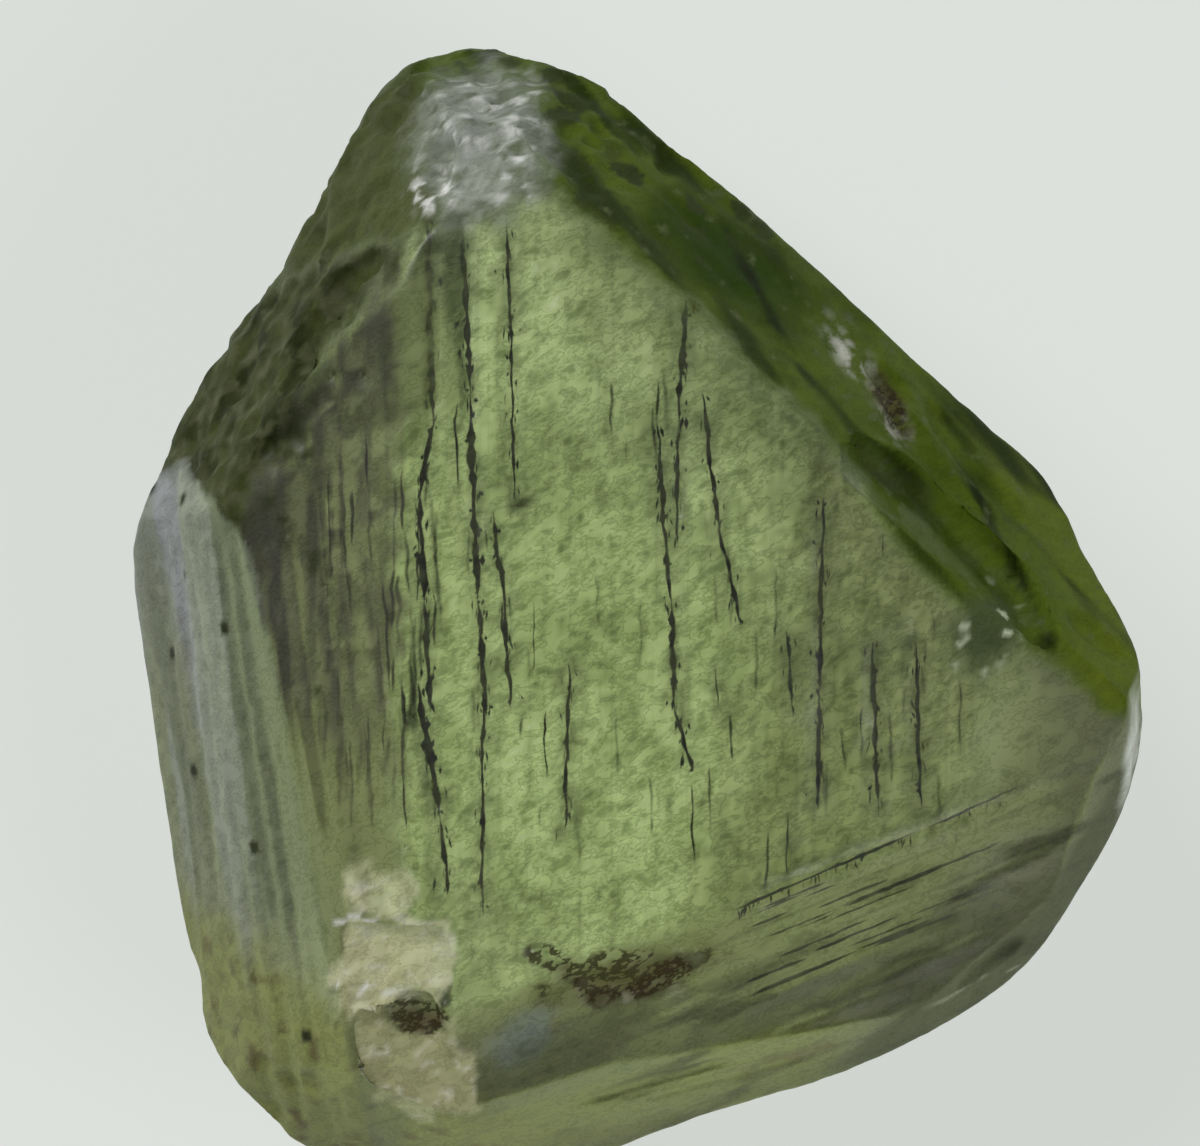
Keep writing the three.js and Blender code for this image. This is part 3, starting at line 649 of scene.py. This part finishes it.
def worn_crystal(node, material, lines):
    """The crystal's solid with its edges worn round and fine relief on its faces."""
    source = new_piece("source", merged_copy(node))
    work = new_piece("work", source.data.copy())
    remesh = work.modifiers.new("fine_skin", "REMESH")
    remesh.mode = "VOXEL"
    remesh.voxel_size = SKIN_STEP
    remesh.use_smooth_shade = True
    cling = work.modifiers.new("cling", "SHRINKWRAP")
    cling.target = source
    cling.wrap_method = "NEAREST_SURFACEPOINT"
    worn = work.modifiers.new("worn_edges", "SMOOTH")
    worn.factor = 0.5
    worn.iterations = 5
    piece = new_piece("skin", plain_mesh(work, "skin"))
    bpy.data.objects.remove(work)
    bpy.data.objects.remove(source)
    # A tree's building time grows with its square, so the work is shared out over four.
    piece = dress(piece, "regions", partial(store_regions, lines=lines), {"Waver": 0.35}, (), material)
    for name, step, sizes in (
        ("tints", paint_tint, {"Halo": 0.36}),
        ("crusts_and_painted_light", paint_crust_and_painted_light, {"Halo": 0.22}),
        ("worn_skin", wear, {"Hillocks": 0.09, "Lumps": 0.17, "Growth lines": 0.07, "Pits": 0.12}),
    ):
        piece = dress(piece, name, step, sizes, REGIONS, material)
    # Only the stain's region is read by the material; the others have done their work.
    for name in REGIONS:
        if name != "stain":
            piece.data.attributes.remove(piece.data.attributes[name])
    piece.data.polygons.foreach_set("use_smooth", [True] * len(piece.data.polygons))
    return piece


# Materials
def new_material(name):
    material = bpy.data.materials.new(name)
    material.use_nodes = True
    material.node_tree.nodes.clear()
    return material, Tree(material.node_tree)


def srgb(red, green, blue):
    """A colour read in 0 to 255 steps, as the linear colour that sockets take."""
    def linear(value):
        value /= 255
        return value / 12.92 if value <= 0.04045 else ((value + 0.055) / 1.055) ** 2.4
    return (linear(red), linear(green), linear(blue), 1.0)


TUBE_DARK = srgb(88, 94, 38)
IRON_BROWN = srgb(58, 47, 30)
# The colour of painted highlights on the crinkles' crests
PAINTED_CREST_HIGHLIGHT = (0.88, 1.0, 0.66, 1.0)
PALE_PAPER = srgb(146, 149, 148)
ABSORBED = (25.0, 5.0, 88.0)  # per metre, in red, green and blue
DENSITY = 90.0


def peridot_material():
    material, tree = new_material("peridot")
    here = Regions(tree, tree.node("ShaderNodeTexCoord").out("Object"))

    def stored(name, output="Fac"):
        return tree.node("ShaderNodeAttribute", {"attribute_name": name}, {}, output)

    drawn = tree.join(here.along(118) * 1.5, here.along(28) * 0.7, here.z)
    crinkle = tree.noise(drawn, 2.7, 3.0, 0.62)
    hairs = tree.noise(stored("grain", "Vector"), 1.0, 1.0)
    crusted, stain, lined = stored("crusted"), stored("stain"), stored("lined")

    # Crinkles, with painted shade on their folds and dips, and hair-thin growth lines
    painted_fold_shade = (crinkle - 0.5).absolute().rise(0.05, 0.01) * 0.75
    painted_dip_shade = painted_fold_shade.most(crinkle.rise(0.5, 0.32)) * here.z.rise(0.5, 3.0)
    shade = tree.mix(painted_dip_shade * 0.85, stored("tint", "Color"), (0.2, 0.24, 0.15, 1.0), "MULTIPLY")
    shade = tree.mix(hairs.rise(0.56, 0.68) * lined, shade, (0.3, 0.3, 0.28, 1.0), "MULTIPLY")
    speckled = (crusted + (crinkle - 0.5) * 1.3 * crusted * (1.0 - crusted) * 2.0).clamped()
    threads = (crinkle - 0.48).absolute().rise(0.1, 0.04) * stain.rise(0.15, 0.55) * 0.9
    # Painted highlights: pale specks on the crinkles' crests near the top, where the passing tint is bright
    brightness = stored("tint").rise(0.45, 0.95)
    painted_crest_highlights = crinkle.rise(0.53, 0.7) * (1.0 - crusted) * brightness * here.z.rise(8.6, 9.4)

    clear = tree.node("ShaderNodeBsdfPrincipled", {}, {
        "Base Color": shade,
        "Roughness": stored("polish"),
        "IOR": PERIDOT_IOR,
        "Transmission Weight": 1.0,
    })
    # The covering is painted darker on the crinkles' dips as well: painted shade
    painted_dip_shaded_crust = tree.mix(painted_dip_shade * 0.4, stored("crust", "Color"), (0.5, 0.5, 0.45, 1.0), "MULTIPLY")
    crust = tree.node("ShaderNodeBsdfPrincipled", {}, {
        "Base Color": tree.mix(threads, tree.mix(painted_crest_highlights, painted_dip_shaded_crust, PAINTED_CREST_HIGHLIGHT), IRON_BROWN),
        "Roughness": 0.55,
        "Specular IOR Level": 0.05,
    })
    covered = speckled.most(painted_crest_highlights * 0.4).most(threads)
    surface = tree.node("ShaderNodeMixShader", {}, {0: covered, 1: clear, 2: crust})
    kept = tuple(1.0 - share / DENSITY for share in ABSORBED)
    body = tree.node("ShaderNodeVolumeAbsorption", {}, {"Color": (*kept, 1.0), "Density": DENSITY})
    tree.node("ShaderNodeOutputMaterial", {}, {"Surface": surface, "Volume": body})
    return material


def plain_material(name, colour, roughness, **more):
    material, tree = new_material(name)
    inputs = {"Base Color": colour, "Roughness": roughness, **more}
    shader = tree.node("ShaderNodeBsdfPrincipled", {}, inputs)
    tree.node("ShaderNodeOutputMaterial", {}, {"Surface": shader})
    return material


# Growth tubes
# The long dark tubes under the front face: x and y of the top and bottom in mm, and the width.
MAIN_TUBES = [
    (-3.9, 7.65, -3.8, 3.75, 0.08), (-3.8, 3.75, -4.06, 2.4, 0.07),
    (-4.06, 2.4, -3.95, 0.4, 0.09), (-3.95, 0.4, -3.84, -1.55, 0.08), (-4.08, -1.15, -3.65, -3.7, 0.1),
    (-3.65, -3.7, -3.5, -5.1, 0.07), (-3.24, 7.45, -3.1, 4.3, 0.08), (-3.1, 4.3, -2.94, 0.4, 0.11),
    (-2.94, 0.4, -2.8, -1.75, 0.08), (-2.86, -1.35, -2.86, -5.5, 0.05), (-2.4, 7.65, -2.27, 2.4, 0.05),
    (-2.65, 2.1, -2.37, -0.35, 0.07), (-2.5, 0.4, -2.3, -1.55, 0.05), (0.43, 3.75, 0.7, 0.4, 0.07),
    (0.7, 0.4, 0.76, -1.55, 0.08), (0.76, -1.55, 1.12, -2.8, 0.07), (0.98, 6.1, 0.82, 3.75, 0.08),
    (0.82, 3.75, 0.78, 1.6, 0.06), (1.3, 4.35, 1.6, 1.8, 0.06), (1.6, 1.8, 2.0, 0.05, 0.06),
    (3.57, 2.4, 3.5, -1.35, 0.07), (3.5, -1.35, 3.46, -3.5, 0.06), (2.88, -0.15, 2.98, -1.55, 0.05),
    (4.5, -0.35, 4.6, -3.5, 0.07), (5.33, -0.35, 5.43, -3.5, 0.05), (-1.23, -0.75, -1.3, -3.9, 0.05),
    (1.9, -5.4, 5.3, -3.95, 0.05), (5.6, -3.85, 7.4, -3.05, 0.03),
]
TUBE_DEPTH = 0.14  # mm below the front face
SPLINTERS_PER_MM = 10
BAND_TUBES, FACE_TUBES, LOWER_TUBES = 60, 60, 26


def front_height(x, y):
    """The height in mm of the front faces over a place, from their planes."""
    faces = [
        (-1, -4.6, 10.0, 80, 1), (2.3, 0, 9.9, -6, 8), (-1, -4.6, 10.0, -80, 13), (-4.5, 0, 9.9, 182, 23),
        (-7.1, 0, 8.8, 191, 47), (-8.27, 0, 7.55, 189, 62), (-6.0, 5.1, 9.25, 144, 56),
        (-4.95, 6.9, 9.8, 153, 65), (-3.0, 7.85, 9.85, 103, 37), (3.27, 4.34, 9.78, 49, 57),
        (4.16, 3.17, 9.64, 45.3, 57), (4.5, -4.2, 9.55, -57, 29),
    ]
    heights = []
    for at_x, at_y, at_z, facing, tilt in faces:
        turn, lean = math.radians(facing), math.tan(math.radians(tilt))
        heights.append(at_z - ((x - at_x) * math.cos(turn) + (y - at_y) * math.sin(turn)) * lean)
    return min(heights)


def tube_lines():
    """All tubes as a mesh of edges with a width on each point.

    The long tubes come first, then the splinters that make them ragged, then short tubes strewn
    over the dim band, over the middle of the face and over the lower right face.
    """
    chance = random.Random(SEED)
    lines = [(x0, y0, x1, y1, width, TUBE_DEPTH) for x0, y0, x1, y1, width in MAIN_TUBES]
    for x0, y0, x1, y1, width in MAIN_TUBES:
        for _ in range(int(SPLINTERS_PER_MM * math.hypot(x1 - x0, y1 - y0))):
            share = chance.random()
            x = x0 + (x1 - x0) * share + chance.gauss(0, 0.07)
            y = y0 + (y1 - y0) * share
            length = chance.uniform(0.05, 0.25)
            foot = x + chance.gauss(0, 0.03)
            lines.append((x, y, foot, y - length, width * chance.uniform(0.2, 0.7), TUBE_DEPTH))
    for _ in range(BAND_TUBES):
        x = chance.uniform(-5.9, -3.7)
        y = chance.uniform(-2.5, 3.6)
        length = chance.uniform(0.5, 2.6)
        slant = chance.uniform(-0.03, 0.06) * length
        width, depth = chance.uniform(0.02, 0.05), chance.uniform(TUBE_DEPTH, 0.9)
        if y - length > -4.6:
            lines.append((x, y, x + slant, y - length, width, depth))
    for _ in range(FACE_TUBES):
        x = chance.uniform(-3.6, 6.2)
        y = chance.uniform(-4.0, 5.0)
        length = chance.uniform(0.3, 1.6)
        slant = chance.uniform(-0.03, 0.06) * length
        depth = chance.uniform(TUBE_DEPTH, 1.2)
        if x + y * 1.15 < 6.6:
            lines.append((x, y, x + slant, y - length, chance.uniform(0.015, 0.035), depth))
    for _ in range(LOWER_TUBES):
        x = chance.uniform(2.0, 6.2)
        y = -5.0 - chance.uniform(0.2, 2.2) + (x - 2.0) * 0.2
        length = chance.uniform(0.6, 2.2)
        lines.append((x, y, x + length * 0.93, y + length * 0.37, chance.uniform(0.02, 0.05), TUBE_DEPTH))
    points, edges, widths = [], [], []
    for x0, y0, x1, y1, width, depth in lines:
        start = len(points)
        count = max(3, int(math.hypot(x1 - x0, y1 - y0) / 0.15))
        for i in range(count):
            share = i / (count - 1)
            x, y = x0 + (x1 - x0) * share, y0 + (y1 - y0) * share
            points.append((x * MM, y * MM, (front_height(x, y) - depth - width) * MM))
            taper = min(1.0, 6.0 * share, 6.0 * (1.0 - share)) * 0.85 + 0.15
            widths.append(width * taper)
            if i:
                edges.append((start + i - 1, start + i))
    mesh = bpy.data.meshes.new("tube_lines")
    mesh.from_pydata(points, edges, [])
    mesh.attributes.new("width", "FLOAT", "POINT").data.foreach_set("value", widths)
    return mesh


def tubes_tree(material, sizes):
    """Ragged dark tubes along the lines: each wavers, swells and thins."""
    tree, geometry, size = geometry_tree("growth_tubes", sizes)
    place = tree.node("GeometryNodeInputPosition")
    width = tree.node("GeometryNodeInputNamedAttribute", {"data_type": "FLOAT"}, {"Name": "width"})
    curve = tree.node("GeometryNodeMeshToCurve", {}, {0: geometry})
    waver = tree.noise(tree.vector("MULTIPLY", place, (4000.0, 2500.0, 2000.0)), 1.0, 2.0)
    swell = tree.noise(tree.vector("MULTIPLY", place, (3000.0, 7500.0, 900.0)), 1.0, 3.0)
    aside = tree.join((waver - 0.5) * size["Waver"] * MM, 0.0, 0.0)
    curve = tree.node("GeometryNodeSetPosition", {}, {"Geometry": curve, "Offset": aside})
    radius = width * (swell.rise(0.35, 0.65) * size["Swell"] + 0.7) * (MM * 0.5)
    curve = tree.node("GeometryNodeSetCurveRadius", {}, {"Curve": curve, "Radius": radius})
    ring = tree.node("GeometryNodeCurvePrimitiveCircle", {}, {"Resolution": 5, "Radius": 1.0})
    swept = {"Curve": curve, "Profile Curve": ring, "Fill Caps": True, "Scale": radius}
    tube = tree.node("GeometryNodeCurveToMesh", {}, swept)
    close_tree(tree, tube, material)
    return tree


def growth_tubes(lines):
    material = plain_material("tube_dark", TUBE_DARK, 0.8, **{"Specular IOR Level": 0.1})
    sizes = {"Waver": 0.16, "Swell": 1.3}
    return run_tree(lines, tubes_tree(material, sizes), sizes, "growth_tubes", material)


# Build the pieces
peridot = peridot_material()
lines = new_piece("lines", tube_lines())
crystal = worn_crystal(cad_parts["peridot_crystal"], peridot, lines)
tubes = growth_tubes(lines)
for piece in (crystal, tubes):
    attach(piece, "root")
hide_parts("peridot_crystal")


# Floor, light and camera
FLOOR_HALF = 1.5
FLOOR_DROP = -0.06 * MM
FLOOR_GLOW = 0.58  # the crystal is seen by the light that comes up through it
floor_mesh = bpy.data.meshes.new("floor")
corners = [(x * FLOOR_HALF, y * FLOOR_HALF, FLOOR_DROP) for x, y in ((-1, -1), (1, -1), (1, 1), (-1, 1))]
floor_mesh.from_pydata(corners, [], [(0, 1, 2, 3)])
paper_glow = {"Emission Color": (0.96, 1.0, 0.95, 1.0), "Emission Strength": FLOOR_GLOW}
paper = plain_material("pale_paper", PALE_PAPER, 0.9, **paper_glow)
floor = new_piece("floor", floor_mesh, paper)

world = bpy.data.worlds.new("studio")
world.use_nodes = True
world.node_tree.nodes.clear()
sky = Tree(world.node_tree)
glow = sky.node("ShaderNodeBackground", {}, {"Color": (0.93, 0.97, 1.0, 1.0), "Strength": 0.1})
sky.node("ShaderNodeOutputWorld", {}, {"Surface": glow})
scene.world = world


def soft_light(name, place, size, power):
    lamp = bpy.data.lights.new(name, "AREA")
    lamp.shape = "RECTANGLE"
    lamp.size, lamp.size_y = size
    lamp.energy = power
    light = bpy.data.objects.new(name, lamp)
    scene.collection.objects.link(light)
    light.location = place
    light.rotation_euler = (-Vector(place)).to_track_quat("-Z", "Y").to_euler()
    return light


soft_light("key", (-0.18, 0.2, 0.24), (0.2, 0.2), 0.62)
soft_light("fill", (0.2, -0.12, 0.22), (0.16, 0.16), 0.24)

# The photograph's frame in pixels, its scale, and the pixel where the crystal's origin lies.
PHOTO_WIDTH, PHOTO_HEIGHT = 1200, 1146
PIXELS_PER_MM = 51
ORIGIN_X, ORIGIN_Y = 633, 621.5
FRAME_WIDTH = PHOTO_WIDTH / PIXELS_PER_MM * MM
CENTRE_X = (PHOTO_WIDTH / 2 - ORIGIN_X) / PIXELS_PER_MM * MM
CENTRE_Y = (ORIGIN_Y - PHOTO_HEIGHT / 2) / PIXELS_PER_MM * MM
DISTANCE = 0.14
SENSOR = 36.0
WIDEST = 4.6 * MM  # height of the crystal's outline
camera_data = bpy.data.cameras.new("camera")
camera_data.sensor_fit = "HORIZONTAL"
camera_data.sensor_width = SENSOR
camera_data.lens = SENSOR * DISTANCE / FRAME_WIDTH
camera_data.clip_start = 0.005
camera_data.clip_end = 10.0
camera = bpy.data.objects.new("camera", camera_data)
scene.collection.objects.link(camera)
camera.location = (CENTRE_X, CENTRE_Y, WIDEST + DISTANCE)
scene.camera = camera

scene.view_settings.view_transform = "Standard"
scene.cycles.max_bounces = 4
scene.cycles.transmission_bounces = 4
scene.cycles.diffuse_bounces = 2
scene.cycles.glossy_bounces = 3
# The floor glows evenly, so light finds it without being aimed; this keeps the render short.
scene.cycles.caustics_reflective = False
scene.cycles.use_light_tree = False
paper.cycles.emission_sampling = "NONE"
